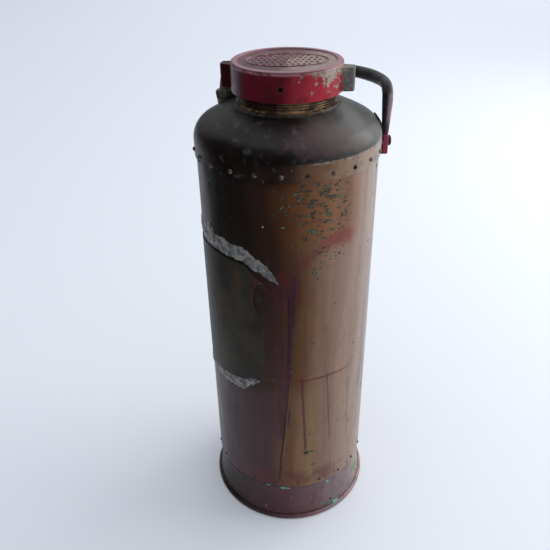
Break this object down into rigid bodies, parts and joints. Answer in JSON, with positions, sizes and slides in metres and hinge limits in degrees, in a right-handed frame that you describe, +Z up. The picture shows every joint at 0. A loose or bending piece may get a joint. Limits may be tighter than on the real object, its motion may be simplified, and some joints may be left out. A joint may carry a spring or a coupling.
{
  "type": "fire extinguisher",
  "caption": "Old riveted copper turn-over fire extinguisher: domed shell, wide screw cap with two lugs, side handle, fixed nozzle and flared foot ring.",
  "frame": {"origin": "centre of the circle that the foot ring stands on, on the shell's axis", "axes": "+Z up along the shell's axis, +Y towards the middle of the handle, -Y towards the instruction plate"},
  "size_m": [0.1938, 0.2046, 0.538],
  "materials": {
    "copper_body": "aged copper, brown patina",
    "copper_dome": "dark patina",
    "copper_foot": "maroon-brown patina",
    "steel_wire": "plain steel",
    "copper_rivet": "dark copper",
    "brass_neck": "aged brass",
    "solder": "dull solder",
    "red_cap": "worn crimson paint on gunmetal",
    "washer_leather": "greased leather",
    "copper_vessel": "plain copper",
    "lead": "dull lead",
    "brass_dark": "dark brass",
    "iron_handle": "dark worn iron with paint remains",
    "brass_plate": "dark brass"
  },
  "bodies": {
    "shell": {"body_shell": "copper_body", "top_dome": "copper_dome", "bottom_head": "copper_dome", "foot_ring": "copper_foot", "foot_ring_wire": "steel_wire", "top_rivets": "copper_rivet", "bottom_rivets": "copper_rivet", "neck_collar": "brass_neck", "neck_solder_ring": "solder", "inner_vessel": "copper_vessel", "vessel_collar": "brass_neck", "outlet_boss": "brass_dark", "nozzle": "brass_dark", "nozzle_washer": "washer_leather", "strainer": "copper_vessel", "handle": "iron_handle", "right_saddle": "iron_handle", "left_saddle": "iron_handle", "handle_bolts": "iron_handle", "handle_nuts": "iron_handle", "backing_plates": "iron_handle", "instruction_plate": "brass_plate"},
    "cap_washer": {"cap_washer": "washer_leather"},
    "cap": {"cap": "red_cap"},
    "stopper": {"stopper": "lead"}
  },
  "joints": [
    {"name": "cap_lift", "type": "slide", "parent": "shell", "child": "cap_washer", "axis": [0, 0, 1], "range_m": [0, 0.02078]},
    {"name": "cap_turn", "type": "hinge", "parent": "cap_washer", "child": "cap", "pos_m": [0, 0, 0.52], "axis": [0, 0, 1], "range_deg": [0, 3240]},
    {"name": "stopper_lift", "type": "slide", "parent": "shell", "child": "stopper", "axis": [0, 0, 1], "range_m": [0, 0.006]}
  ],
  "couplings": [
    {"joint": "cap_lift", "follows": "cap_turn", "m_per_rad": 0.00036749}
  ]
}
